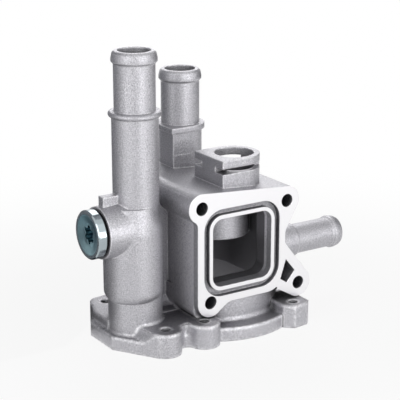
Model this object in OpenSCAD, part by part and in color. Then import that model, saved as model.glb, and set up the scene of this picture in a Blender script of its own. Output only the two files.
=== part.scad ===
// Coolant thermostat housing: one aluminium casting with a square cover
// flange, two upright hose spigots, one side spigot, a clip-in sensor boss
// and a two-level base flange, closed by a screwed plug on a sealing ring.
// Millimetres. The origin is the centre of the main port on the mounting
// face, +Z is up and the cover flange faces -Y.

/* [Base flange] */
// Thickness of the bolt pads
base_t = 12; // [9:0.5:16]
// Thickness of the thin ledge between the pads
ledge_t = 7; // [5:0.5:8]
// Outer radius of the round ring
ring_r = 42.4; // [40:0.1:43.4]
// Radius of each bolt pad
pad_r = 8; // [7:0.5:9]
// Diameter of the base bolt holes
base_hole_d = 5.2; // [4.5:0.1:7]
// Diameter of the main coolant port
port_d = 50; // [44:1:52]
// Radius of the bolt circle round the main port
bolt_r = 44.5; // [43.5:0.5:46]
// Outer radius of the round hub wall on the ring
hub_r = 33; // [31:0.5:33.5]
// Radius of the fillet at the foot of the hub wall
hub_foot = 1.5; // [1:0.5:3]
// Width of the sloped shoulder between the ledge and the pads
shoulder_w = 3; // [2:0.5:4]
// Reach of the tube foot to the left of the tube axis
foot_l = 17.5; // [16.5:0.5:19]

/* [Cover flange] */
// Depth of the flange face in front of the port axis
face_y = 34; // [33:0.5:38]
// Sideways place of the window centre
window_x = -5; // [-8:0.5:-2]
// Height of the window centre above the mounting face
window_z = 45; // [43:0.5:48]
// Side of the square window
window_w = 35; // [32:0.5:37]
// Corner radius of the window
window_r = 5.5; // [4:0.5:8]
// Width of the sealing rim round the window
rim_w = 1.9; // [1.5:0.1:2.5]
// Width of the seal groove
groove_w = 3.1; // [2.5:0.1:3.5]
// Depth of the seal groove
groove_depth = 3; // [2:0.5:5]
// Width of the land outside the groove
land_w = 3.6; // [3:0.1:4.5]
// Radius of the bolt ears
ear_r = 7.4; // [6.5:0.1:7.8]
// Diameter of the cover bolt holes
cover_hole_d = 6.8; // [5:0.1:7]
// Depth of the cover bolt holes
cover_hole_depth = 16; // [12:1:18]
// Length of the bolt ears behind the face
ear_len = 20; // [19:1:24]

/* [Chamber] */
// Reach of the box behind the port axis
box_back = 40; // [39.5:0.5:42]
// Radius of the upright back corners of the box
box_corner_r = 20; // [12:1:24]
// Wall thickness of the chamber
wall = 5; // [4:0.5:6]
// Depth of the window tunnel
tunnel = 13; // [10:1:16]
// Width that the chamber has beyond the window
chamber_extra = 6; // [4:0.5:7]
// Place of the centre of the round back wall behind the port axis
chamber_y = 5.6; // [3:0.2:7]
// Radius of the round boss under the ceiling
boss_r = 16.2; // [14:0.2:17]
// Height of the boss foot above the mounting face
boss_z = 44.3; // [40:0.1:52]

/* [Tall spigot] */
// Distance from the port axis to the tall tube, to the left
tube_x = 52.5; // [50:0.5:56]
// Distance from the port axis to the tall tube, to the front
tube_y = 12; // [10:0.5:14]
// Height of the mouth above the mounting face
tube_top = 145.5; // [135:0.5:155]
// Bore of both upright spigots
pipe_bore = 16; // [14:0.5:17]
// Hose diameter of both upright spigots
pipe_d = 20; // [19:0.5:21]
// Diameter of the tube under the collar
tube_d = 22.6; // [22:0.1:24]
// Outer diameter of the round collar
collar_d = 25.8; // [25:0.1:28]
// Height of the collar above the mounting face
collar_z = 114; // [105:0.5:120]
// Thickness of the collars
collar_t = 2.8; // [2:0.1:4]

// Height of the bead on both upright spigots
pipe_bead = 1.1; // [0.6:0.1:1.5]

/* [Barrel] */
// Diameter of the thick barrel
barrel_d = 29; // [28:0.5:31]
// Offset of the barrel from the tube axis, to the left
barrel_shift = 2.7; // [1.5:0.1:3.2]
// Offset of the neck from the tube axis, to the left
neck_shift = 1.3; // [0.5:0.1:2]
// Height of the barrel foot above the mounting face
barrel_z0 = 22.5; // [21:0.5:26]
// Radius of the rounded edge at the barrel foot
barrel_round = 5.5; // [3:0.5:6]
// Height of the barrel top above the mounting face
barrel_z1 = 69; // [66:0.5:74]
// Diameter of the neck that stands on the base
neck_d = 26.8; // [26:0.1:27.6]
// Height of the plug axis above the mounting face
plug_z = 59.4; // [58:0.1:61]
// Diameter of the plug boss
plug_boss_d = 25.6; // [25.4:0.1:27]
// Reach of the plug boss from the tube axis
plug_boss_len = 21.3; // [20:0.1:24]

// Front of the web in front of the port axis
web_front = 6; // [5:0.5:8]
// Thickness of the web between the tube and the box
web_t = 5; // [4:0.5:6]

/* [Plug] */
// Diameter of the plug head
plug_d = 24; // [22:0.5:25]
// Thickness of the plug head
plug_head_t = 4.2; // [3:0.1:5]
// Diameter of the threaded hole for the plug
plug_hole_d = 18; // [16:0.5:18]
// Clearance of the plug shank in its hole
plug_clear = 0.2; // [0.1:0.05:0.4]
// Length of the plug shank
plug_shank = 9; // [7:0.5:10]
// Height of the sealing ring between head and boss
seal_t = 1.6; // [1.2:0.1:2]
// Section diameter of the sealing ring
seal_d = 2; // [2:0.1:2.4]
// Tip diameter of the six-lobe socket
socket_d = 9.6; // [8:0.1:10.5]
// Depth of the six-lobe socket
socket_depth = 5; // [3:0.5:6]

/* [Sensor boss] */
// Sideways place of the sensor bore
sensor_x = 2.5; // [1:0.5:4]
// Place of the sensor bore in front of the port axis
sensor_y = 15; // [13:0.5:16]
// Diameter of the sensor bore
sensor_d = 20; // [18:0.5:20.5]
// Outer radius of the sensor boss
sensor_r = 12.8; // [12.5:0.1:13.5]
// Distance from the bore axis to the flat side
sensor_flat = 15.2; // [14:0.1:16]
// Height of the boss top above the mounting face
sensor_top = 89; // [86:0.5:92]
// Depth of the clip slots under the boss top
slot_drop = 5.3; // [4:0.1:6]
// Height of the clip slots
slot_h = 2.8; // [2:0.1:3.2]
// Distance from the bore axis to the inner side of each slot
slot_y = 5.8; // [5:0.1:7]

/* [Second spigot] */
// Sideways place of the second spigot
col_x = -2.5; // [-4:0.5:0]
// Place of the second spigot behind the port axis
col_y = 27.5; // [26:0.5:28]
// Half width of the squared column
col_half = 11.2; // [11:0.1:12]
// Half width of the column collar
col_collar = 12.7; // [12.2:0.1:13.5]
// Height of the column collar
col_z = 94; // [90:0.5:98]
// Height of the mouth above the mounting face
col_top = 125; // [115:0.5:130]
// Height of the foot of the second bore in the chamber's back wall
col_foot = 50; // [46:0.5:58]

/* [Side spigot] */
// Height of the side spigot axis
side_z = 30; // [29:0.5:32]
// Reach of the side spigot from the port axis
side_len = 80; // [70:0.5:90]
// Hose diameter of the side spigot
side_d = 16; // [15:0.5:17]
// Bore of the side spigot
side_bore = 12; // [10:0.5:12.5]
// Diameter of the root boss
side_root_d = 18; // [17.5:0.5:20]
// Reach of the root boss from the port axis
side_root_len = 50; // [45:0.5:55]
// Height of the bead on the side spigot
side_bead = 0.8; // [0.5:0.1:1.2]
// Distance from the port axis to the drop that joins the side bore to the port
drop_x = 24; // [22:0.5:26]

/* [Hidden] */
$fn = 96;
eps = 0.5;
cast_grey = "#B6BABF";
zinc_blue = "#8FB3BC";
seal_black = "#1C1C1E";
tube = [-tube_x, -tube_y];
win = [window_x, window_z];
rim_out = window_w + 2 * rim_w;
groove_out = rim_out + 2 * groove_w;
land_out = groove_out + 2 * land_w;
groove_r = window_r + rim_w + groove_w;
// Cover ears, measured from the window centre
ears = [[-23.8, 24.4], [26.8, 20.4], [ear_r - land_out / 2, -24.7], [34.8, -24.7]];
ear1 = win + ears[0];
ear2 = win + ears[1];
ear3 = win + ears[2];
ear4 = win + ears[3];
land_l = window_x - land_out / 2;
land_rt = window_x + land_out / 2;
land_b = window_z - land_out / 2;
// Upward normal of the box top, which is tangent to the two upper ears
top_run = ear2 - ear1;
top_n = [-top_run[1], top_run[0]] / norm(top_run);
function top_z(x) = ear1[1] + top_n[1] * ear_r
    + (x - ear1[0] - top_n[0] * ear_r) * top_run[1] / top_run[0];
// Corners of the flange outline: two at the right waist, two on the lower edge
waist1 = [land_rt, window_z + 4.5];
waist2 = [land_rt, window_z - 1.8];
lower1 = [window_x - 8, land_b];
lower2 = [land_rt - 3.5, land_b];
// Base bolt holes: two beside the tall tube and four round the main port
bolts = [
    tube + [-3.3, 26.8],
    tube + [2.8, -21.7],
    bolt_r * [cos(231), sin(231)],
    bolt_r * [cos(303), sin(303)],
    bolt_r * [cos(30), sin(30)],
    bolt_r * [cos(105), sin(105)]
];
// Upper edge of the sloped shoulder beside the tube, from the neck to the front
shoulder = [tube + [-6.5, -neck_d / 2 + 2.5], bolts[1] + pad_r * [-0.86, -0.5]];
plug_x = -tube_x - plug_boss_len;
seal_r = (plug_hole_d + plug_d) / 4;
// Width of the arms that carry the rear bolt pads
arm_w = 2 * pad_r - 1.2;
chamber_w = window_w + chamber_extra;
hub_top = land_b + 6;
chamber_z0 = land_b + 1.5;
ceiling = top_z(land_rt) - wall - 2;

// Unit vector along v
function unit(v) = v / norm(v);

// Foot of the line from w that just cuts into the circle of radius r about e, on one side
function touch(w, e, r, side) =
    let (d = e - w, len = norm(d), s = (r - 0.05) / len, k = 1 - s * s, h = side * s * sqrt(k))
    w + [k * d[0] - h * d[1], h * d[0] + k * d[1]];

// Fillet of radius f in the hollow corner w between the directions d1 and d2
module corner_fill(w, d1, d2, f) {
    mid = unit(d1 + d2);
    half = acos(d1 * mid);
    c = w + mid * f / sin(half);
    difference() {
        polygon([w - 2 * mid, w + d1 * f / tan(half), c, w + d2 * f / tan(half)]);
        translate(c)
            circle(f + 0.05);
    }
}

// Hollow between two equal circles, filled out to an arc that meets both
module valley_fill(p, q, r) {
    run = q - p;
    half = norm(run) / 2;
    f = half - r + 0.55;
    out = [run[1], -run[0]] / norm(run);
    c = (p + q) / 2 + out * sqrt((r + f) * (r + f) - half * half);
    difference() {
        polygon([p, q, c]);
        translate(c)
            circle(f + 0.05);
    }
}

// Square with round corners about its centre
module round_square(w, r) {
    union() {
        square([w, w - 2 * r], center = true);
        square([w - 2 * r, w], center = true);
        for (sx = [-1, 1], sy = [-1, 1])
            translate([sx, sy] * (w / 2 - r))
                circle(r);
    }
}

// Plate that stands upright, drawn in x and z, with its front at -face_y + y0
module upright(y0, depth) {
    translate([0, y0 + depth - face_y, 0])
        rotate([90, 0, 0])
            linear_extrude(depth)
                children();
}

// Hose end: a plain pipe with a tapered bead at its mouth, along +z
module hose_end(d, len, bead) {
    rotate_extrude()
        polygon([
            [0, 0],
            [d / 2, 0],
            [d / 2, len - 6.2],
            [d / 2 + bead, len - 5],
            [d / 2 + bead, len - 3.6],
            [d / 2 + bead - 0.5, len - 1.2],
            [d / 2 - 0.4, len],
            [0, len]
        ]);
}

// Round collar with a rounded outer edge
module round_collar(d, t) {
    rotate_extrude()
        union() {
            square([d / 2 - t / 2, t]);
            translate([d / 2 - t / 2, t / 2])
                circle(t / 2);
        }
}

// Section of the box: the land square and the two upper ears joined on top
module box_section() {
    corner_r = 4;
    hollow = [land_l - corner_r, ear1[1] - sqrt((ear_r + corner_r) ^ 2 - (ear1[0] - land_l + corner_r) ^ 2)];
    brow = touch(waist1, ear2, ear_r, -1);
    brow_h = ear_r - 0.05;
    union() {
        translate(win)
            round_square(land_out, groove_r);
        polygon([ear1 + top_n * brow_h, ear2 + top_n * brow_h, ear2, ear1]);
        for (e = [ear1, ear2])
            translate(e)
                circle(ear_r);
        difference() {
            polygon([hollow, [land_l + 1, hollow[1]], ear1]);
            translate(hollow)
                circle(corner_r + 0.05);
        }
        polygon([waist1, brow, ear2, win]);
        corner_fill(waist1, unit(brow - waist1), [0, -1], 9);
    }
}

// Lower part of the cover flange with the two lower ears
module lower_ears() {
    left = touch(lower1, ear3, ear_r, 1);
    right = touch(waist2, ear4, ear_r, 1);
    under = touch(lower2, ear4, ear_r, -1);
    union() {
        for (e = [ear3, ear4])
            translate(e)
                circle(ear_r);
        polygon([left, lower1, win, [land_l, window_z], [land_l, ear3[1]], ear3]);
        corner_fill(lower1, unit(left - lower1), [1, 0], 8);
        polygon([right, waist2, win, lower2, under, ear4]);
        corner_fill(waist2, [0, 1], unit(right - waist2), 4);
        corner_fill(lower2, [-1, 0], unit(under - lower2), 6);
    }
}

// Lower left edge of the box, carried down to the base
module box_skirt() {
    skirt_r = 5;
    skirt_w = 13;
    union() {
        translate([land_l, base_t + skirt_r - 1])
            square([skirt_w, land_b - base_t + 12]);
        translate([land_l + skirt_r, base_t - 1])
            square([skirt_w - skirt_r, 20]);
        translate([land_l + skirt_r, base_t - 1 + skirt_r])
            circle(skirt_r);
    }
}

// Plan of the box, straight in front with round corners at the back
module box_plan() {
    half = 40;
    union() {
        translate([window_x - half, -face_y])
            square([2 * half, face_y + box_back - box_corner_r]);
        translate([land_l + box_corner_r - 4, 0])
            square([land_out + 8 - 2 * box_corner_r, box_back]);
        for (x = [land_l - 4 + box_corner_r, land_rt + 4 - box_corner_r])
            translate([x, box_back - box_corner_r])
                circle(box_corner_r);
    }
}

// Rear walls of the box, carried down to the base
module rear_skirt() {
    linear_extrude(window_z)
        intersection() {
            box_plan();
            translate([land_l, -web_front])
                square([land_out, box_back + web_front]);
        }
}

// The box with its cover flange, still solid
module box_body() {
    union() {
        intersection() {
            upright(0, face_y + box_back + eps)
                box_section();
            linear_extrude(tube_top)
                box_plan();
        }
        upright(0, ear_len)
            lower_ears();
        upright(4, face_y - web_front - 2)
            box_skirt();
        rear_skirt();
    }
}

// Plan of the squarish front pad, measured from its bolt hole
module front_pad() {
    translate(bolts[3])
        polygon([[-7.4, 16], [-7.4, -2.6], [-3, -6.2], [5.6, -5.2], [7.8, -3], [7.8, 16]]);
}

// Plan of the round bolt pads
module round_pads() {
    for (i = [0, 1, 2, 4, 5])
        translate(bolts[i])
            circle(pad_r);
    valley_fill(bolts[1], bolts[2], pad_r);
}

// Plan of the whole base: ring, tube foot and pads
module base_plan() {
    union() {
        circle(ring_r);
        polygon([
            tube + [-foot_l, 17],
            tube + [-foot_l, -5],
            tube + [-3.5, -27.2],
            bolts[1],
            bolts[2],
            [0, 0],
            bolts[5],
            bolts[0],
            tube + [-11.3, 26]
        ]);
        round_pads();
        front_pad();
    }
}

// Full-height bolt pads of the base
module base_pads() {
    linear_extrude(base_t)
        union() {
            round_pads();
            front_pad();
            polygon([
                bolts[0] + [-pad_r, 0],
                tube + [2.8 - foot_l, 19],
                tube + [2.8 - foot_l, 4],
                tube + [-neck_d / 2 + 1, 3],
                tube,
                [0, 0],
                [-18, 30],
                bolts[0] + [2, pad_r]
            ]);
            polygon([
                shoulder[0],
                shoulder[1],
                bolts[1],
                bolts[1] + [9, 0],
                bolts[2] + [-9, 2],
                bolts[2] + [pad_r, 0],
                [-18, -20],
                [-18, 10],
                tube
            ]);
            for (b = [bolts[4], bolts[5]])
                rotate(atan2(b[1], b[0]))
                    translate([hub_r - 5, -arm_w / 2])
                        square([bolt_r - hub_r + 5, arm_w]);
        }
}

// Sloped shoulder from the pads beside the tube down to the ledge
module pad_shoulder() {
    run = shoulder[1] - shoulder[0];
    intersection() {
        linear_extrude(base_t)
            base_plan();
        translate(shoulder[0])
            rotate([90, 0, atan2(run[1], run[0]) + 90])
                translate([0, 0, -4])
                    linear_extrude(norm(run) + 8)
                        polygon([
                            [2, ledge_t - eps],
                            [-shoulder_w, ledge_t - eps],
                            [-shoulder_w + 0.4, ledge_t + 0.5],
                            [-0.6, base_t - 0.7],
                            [0.6, base_t - 0.15],
                            [2, base_t - 0.15]
                        ]);
    }
}

// Round hub wall on the ring, with a small foot fillet
module hub() {
    rotate_extrude()
        polygon([
            [0, 0],
            [hub_r + hub_foot, 0],
            [hub_r + hub_foot, ledge_t],
            for (a = [15:15:75])
                [hub_r + hub_foot - hub_foot * sin(a), ledge_t + hub_foot - hub_foot * cos(a)],
            [hub_r, ledge_t + hub_foot],
            [hub_r, hub_top],
            [0, hub_top]
        ]);
}

// Tall tube with barrel, neck, collar and hose end
module tall_tube() {
    translate(tube) {
        translate([-neck_shift, 0, 0])
            cylinder(d = neck_d, h = barrel_z0 + 12);
        translate([-barrel_shift, -0.6, 0])
            rotate_extrude()
                polygon([
                    [0, barrel_z0],
                    [barrel_d / 2 - barrel_round, barrel_z0],
                    for (a = [-75:15:0])
                        [barrel_d / 2 - barrel_round * (1 - cos(a)), barrel_z0 + barrel_round * (1 + sin(a))],
                    [barrel_d / 2, barrel_z1 - 10],
                    [barrel_d / 2 - 0.5, barrel_z1 - 6],
                    [barrel_d / 2 - 3, barrel_z1 + 2],
                    [0, barrel_z1 + 2]
                ]);
        cylinder(d = tube_d, h = collar_z + eps);
        translate([0, 0, collar_z])
            round_collar(collar_d, collar_t);
        translate([0, 0, collar_z + collar_t - eps])
            hose_end(pipe_d, tube_top - collar_z - collar_t + eps, pipe_bead);
    }
}

// Boss for the plug and the small block above it
module plug_boss() {
    translate([-tube_x, -tube_y, plug_z])
        rotate([0, -90, 0]) {
            cylinder(d1 = barrel_d - 0.4, d2 = plug_boss_d, h = plug_boss_len);
        }
    translate([-tube_x - 19.2, -tube_y - 2, plug_z + 8])
        cube([15, 4.5, 9.6]);
}

// Upright web between the tube and the box, with a foot that flares forward
module web() {
    reach = land_l + tube_x + 6;
    translate([-tube_x, web_t - web_front, 0])
        rotate([90, 0, 0])
            linear_extrude(web_t)
                polygon([
                    [0, base_t - eps],
                    [reach, base_t - eps],
                    [reach, barrel_z1 - 1],
                    [17, barrel_z1 - 1],
                    [12, barrel_z1 - 5],
                    [0, barrel_z1 - 5]
                ]);
    translate([-tube_x, 0, 0])
        rotate([90, 0, 90])
            linear_extrude(reach)
                polygon([
                    [-web_front + 1, base_t - eps],
                    [-web_front - 9, base_t - eps],
                    [-web_front - 8.6, base_t + 0.4],
                    [-web_front - 4.5, base_t + 1.6],
                    [-web_front - 1.8, base_t + 3.2],
                    [-web_front - 0.5, base_t + 5],
                    [-web_front + 1, base_t + 6]
                ]);
}

// Boss for a clip-in sensor, with a flat side
module sensor_boss() {
    translate([sensor_x, -sensor_y, ceiling + 2])
        linear_extrude(sensor_top - ceiling - 2)
            union() {
                circle(sensor_r);
                translate([-sensor_flat, -sensor_r])
                    square([sensor_flat, 2 * sensor_r]);
            }
}

// D-shaped plan: a circle with one squared corner at front left
module d_plan(half) {
    union() {
        circle(half);
        translate([-half, -half])
            square(half);
    }
}

// Column, collar and hose end of the second spigot
module second_spigot() {
    translate([col_x, col_y, 0]) {
        translate([0, 0, ceiling])
            linear_extrude(col_z - ceiling + eps)
                d_plan(col_half);
        translate([0, 0, col_z])
            linear_extrude(collar_t)
                d_plan(col_collar);
        translate([0, 0, col_z + collar_t - eps])
            hose_end(pipe_d, col_top - col_z - collar_t + eps, pipe_bead);
    }
}

// Side spigot with a slightly thicker root
module side_spigot() {
    translate([0, 0, side_z])
        rotate([0, 90, 0]) {
            translate([0, 0, land_rt - 4])
                cylinder(d = side_root_d, h = side_root_len - land_rt + 4);
            translate([0, 0, side_root_len - eps])
                hose_end(side_d, side_len - side_root_len + eps, side_bead);
        }
}

// Plan of the chamber: straight sides and a round back
module chamber_plan() {
    union() {
        translate([window_x - chamber_w / 2, tunnel - face_y])
            square([chamber_w, face_y - tunnel + chamber_y]);
        translate([window_x, chamber_y])
            circle(d = chamber_w);
    }
}

// Every hollow of the casting
module hollows() {
    // Main port up into the chamber
    translate([0, 0, -eps])
        cylinder(d = port_d, h = chamber_z0 + 2 * eps);
    // Chamber behind the window tunnel, less the boss under its ceiling
    difference() {
        translate([0, 0, chamber_z0])
            linear_extrude(ceiling - chamber_z0)
                chamber_plan();
        translate([sensor_x - 0.5, -1, boss_z])
            cylinder(r = boss_r, h = sensor_top - boss_z);
    }
    // Window and seal groove
    upright(-eps, tunnel + 2 * eps)
        translate(win)
            round_square(window_w, window_r);
    upright(-eps, groove_depth + eps)
        difference() {
            translate(win)
                round_square(groove_out, groove_r);
            translate(win)
                round_square(rim_out, window_r + rim_w);
        }
    // Cover bolt holes
    for (e = [ear1, ear2, ear3, ear4])
        translate([e[0], -face_y - eps, e[1]])
            rotate([-90, 0, 0])
                cylinder(d = cover_hole_d, h = cover_hole_depth + eps);
    // Pocket beside the lower right ear
    upright(-eps, 10)
        difference() {
            polygon([
                win + [26.8, -10.6],
                win + [32.6, -17.7],
                win + [27.6, -23.4],
                win + [23.5, -20.7]
            ]);
            translate(ear4)
                circle(cover_hole_d / 2 + 2.6);
        }
    // Base bolt holes
    for (b = bolts)
        translate([b[0], b[1], -eps])
            cylinder(d = base_hole_d, h = base_t + 2 * eps);
    // Tall tube bore from the mouth to the mounting face
    translate([tube[0], tube[1], -eps])
        cylinder(d = pipe_bore, h = tube_top + 2 * eps);
    // Threaded hole for the plug
    translate([plug_x - eps, -tube_y, plug_z])
        rotate([0, 90, 0])
            cylinder(d = plug_hole_d, h = plug_boss_len + eps);
    // Sensor bore and clip slots
    translate([sensor_x, -sensor_y, ceiling - eps])
        cylinder(d = sensor_d, h = sensor_top - ceiling + 2 * eps);
    for (s = [-1, 1])
        translate([sensor_x, -sensor_y + s * (slot_y + sensor_r), sensor_top - slot_drop])
            cube([4 * sensor_flat, 2 * sensor_r, slot_h], center = true);
    // Second spigot bore down to the chamber's back wall
    translate([col_x, col_y, col_foot])
        cylinder(d = pipe_bore, h = col_top - col_foot + eps);
    // Side spigot bore and its drop to the main port
    translate([drop_x, 0, side_z])
        rotate([0, 90, 0])
            cylinder(d = side_bore, h = side_len - drop_x + eps);
    translate([drop_x, 0, chamber_z0 - eps])
        cylinder(d = side_bore - 1, h = side_z - chamber_z0 + eps);
}

module housing() {
    color(cast_grey)
        difference() {
            union() {
                linear_extrude(ledge_t)
                    base_plan();
                base_pads();
                pad_shoulder();
                hub();
                box_body();
                web();
                tall_tube();
                plug_boss();
                sensor_boss();
                second_spigot();
                side_spigot();
            }
            hollows();
        }
}

// Six-lobe socket drawn as a round core with six round lobes
module six_lobe(d) {
    union() {
        circle(d = d * 0.74);
        for (a = [0:60:300])
            rotate(a)
                translate([d * 0.37, 0])
                    circle(d = d * 0.26);
    }
}

// Plug: dished head, shank and socket, along +x into the boss
module plug() {
    color(zinc_blue)
        translate([plug_x, -tube_y, plug_z])
            rotate([0, -90, 0])
                difference() {
                    rotate_extrude()
                        polygon([
                            [0, -plug_shank],
                            [plug_hole_d / 2 - plug_clear - 1, -plug_shank],
                            [plug_hole_d / 2 - plug_clear, 1 - plug_shank],
                            [plug_hole_d / 2 - plug_clear, seal_t],
                            [plug_d / 2, seal_t],
                            [plug_d / 2, seal_t + plug_head_t - 0.6],
                            [plug_d / 2 - 0.6, seal_t + plug_head_t],
                            [plug_d / 2 - 2.6, seal_t + plug_head_t],
                            [socket_d / 2 + 1, seal_t + plug_head_t - 1],
                            [0, seal_t + plug_head_t - 1]
                        ]);
                    translate([0, 0, seal_t + plug_head_t - socket_depth])
                        linear_extrude(socket_depth + eps)
                            six_lobe(socket_d);
                }
}

// Sealing ring, pressed flat between the plug head and the boss face
module seal_ring() {
    color(seal_black)
        translate([plug_x, -tube_y, plug_z])
            rotate([0, -90, 0])
                rotate_extrude()
                    intersection() {
                        translate([seal_r, seal_t / 2])
                            circle(d = seal_d);
                        translate([seal_r - seal_d, 0])
                            square([2 * seal_d, seal_t]);
                    }
}

housing();
plug();
seal_ring();
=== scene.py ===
"""Looks of the coolant thermostat housing: finishes, cut threads, studio and camera.

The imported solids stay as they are. This script dresses them, adds the threads
that are cut in the bolt holes, and sets the light and the camera.
"""

import logging
import math
from dataclasses import dataclass, field
from enum import Enum
from typing import Any, Optional, Sequence

import bpy
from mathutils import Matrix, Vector


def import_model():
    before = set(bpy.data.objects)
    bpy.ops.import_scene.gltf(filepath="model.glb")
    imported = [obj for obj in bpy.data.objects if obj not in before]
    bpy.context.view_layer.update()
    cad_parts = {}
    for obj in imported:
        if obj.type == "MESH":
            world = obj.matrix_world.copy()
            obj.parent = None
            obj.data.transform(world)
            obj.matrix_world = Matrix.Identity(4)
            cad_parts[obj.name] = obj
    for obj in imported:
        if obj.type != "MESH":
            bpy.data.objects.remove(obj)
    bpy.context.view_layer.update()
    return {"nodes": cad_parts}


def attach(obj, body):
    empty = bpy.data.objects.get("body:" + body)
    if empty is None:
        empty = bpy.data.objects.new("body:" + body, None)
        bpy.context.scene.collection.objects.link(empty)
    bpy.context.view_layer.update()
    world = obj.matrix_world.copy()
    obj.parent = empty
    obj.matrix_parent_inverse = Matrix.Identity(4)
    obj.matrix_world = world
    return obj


LOG = logging.getLogger("thermostat_housing")
MM = 0.001
SKY_SAMPLES = 6
THREAD_STEPS = 28
RIDGE_SIDES = 4
WHITE = (1.0, 1.0, 1.0, 1.0)

Point = tuple[float, float, float]
Tree = bpy.types.NodeTree
Socket = bpy.types.NodeSocket


def linear(hex_colour: str) -> tuple[float, float, float, float]:
    """Turns an sRGB hex colour into linear RGBA.

    Args:
        hex_colour: Six hex digits after a hash sign.

    Returns:
        Linear red, green, blue and an alpha of 1.
    """
    digits = hex_colour.lstrip("#")
    out = []
    for i in (0, 2, 4):
        c = int(digits[i : i + 2], 16) / 255.0
        out.append(c / 12.92 if c <= 0.04045 else ((c + 0.055) / 1.055) ** 2.4)
    return (out[0], out[1], out[2], 1.0)


def add_node(
    tree: Tree,
    kind: str,
    settings: Optional[dict[str, Any]] = None,
    inputs: Optional[dict[Any, Any]] = None,
) -> bpy.types.Node:
    """Adds one node with its settings, and links or sets its inputs.

    Args:
        tree: The tree that gets the node.
        kind: The node's type name.
        settings: Attributes of the node itself.
        inputs: Values or output sockets by input name or index.

    Returns:
        The new node.
    """
    node = tree.nodes.new(kind)
    for name, value in (settings or {}).items():
        setattr(node, name, value)
    for key, value in (inputs or {}).items():
        if isinstance(value, bpy.types.NodeSocket):
            tree.links.new(value, node.inputs[key])
        else:
            node.inputs[key].default_value = value
    return node


def blank_material(name: str) -> bpy.types.Material:
    """Makes a material with an empty node tree.

    Args:
        name: The material's name.

    Returns:
        The new material.
    """
    mat = bpy.data.materials.new(name)
    mat.use_nodes = True
    mat.node_tree.nodes.clear()
    return mat


class HoleAxis(Enum):
    """Ways that a tapped hole runs, as the turn of a thread that starts out along +Z."""

    UP = (0.0, 0.0, 0.0)
    BACK = (-math.pi / 2.0, 0.0, 0.0)


@dataclass(frozen=True)
class Ramp:
    """A straight ramp from one measure to another, held at both ends."""

    low: float
    high: float
    start: float = 0.0
    end: float = 1.0

    def sockets(self) -> dict[str, float]:
        """The ramp's ends by their socket names."""
        names = ("From Min", "From Max", "To Min", "To Max")
        return dict(zip(names, (self.low, self.high, self.start, self.end)))


@dataclass(frozen=True)
class Noise:
    """A noise pattern whose blotches are about size_mm wide."""

    size_mm: float
    detail: float
    roughness: float = 0.5

    def sockets(self) -> dict[str, float]:
        """The pattern's settings by their socket names."""
        scale = 1.0 / (2.0 * self.size_mm * MM)
        return {"Scale": scale, "Detail": self.detail, "Roughness": self.roughness}


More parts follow.
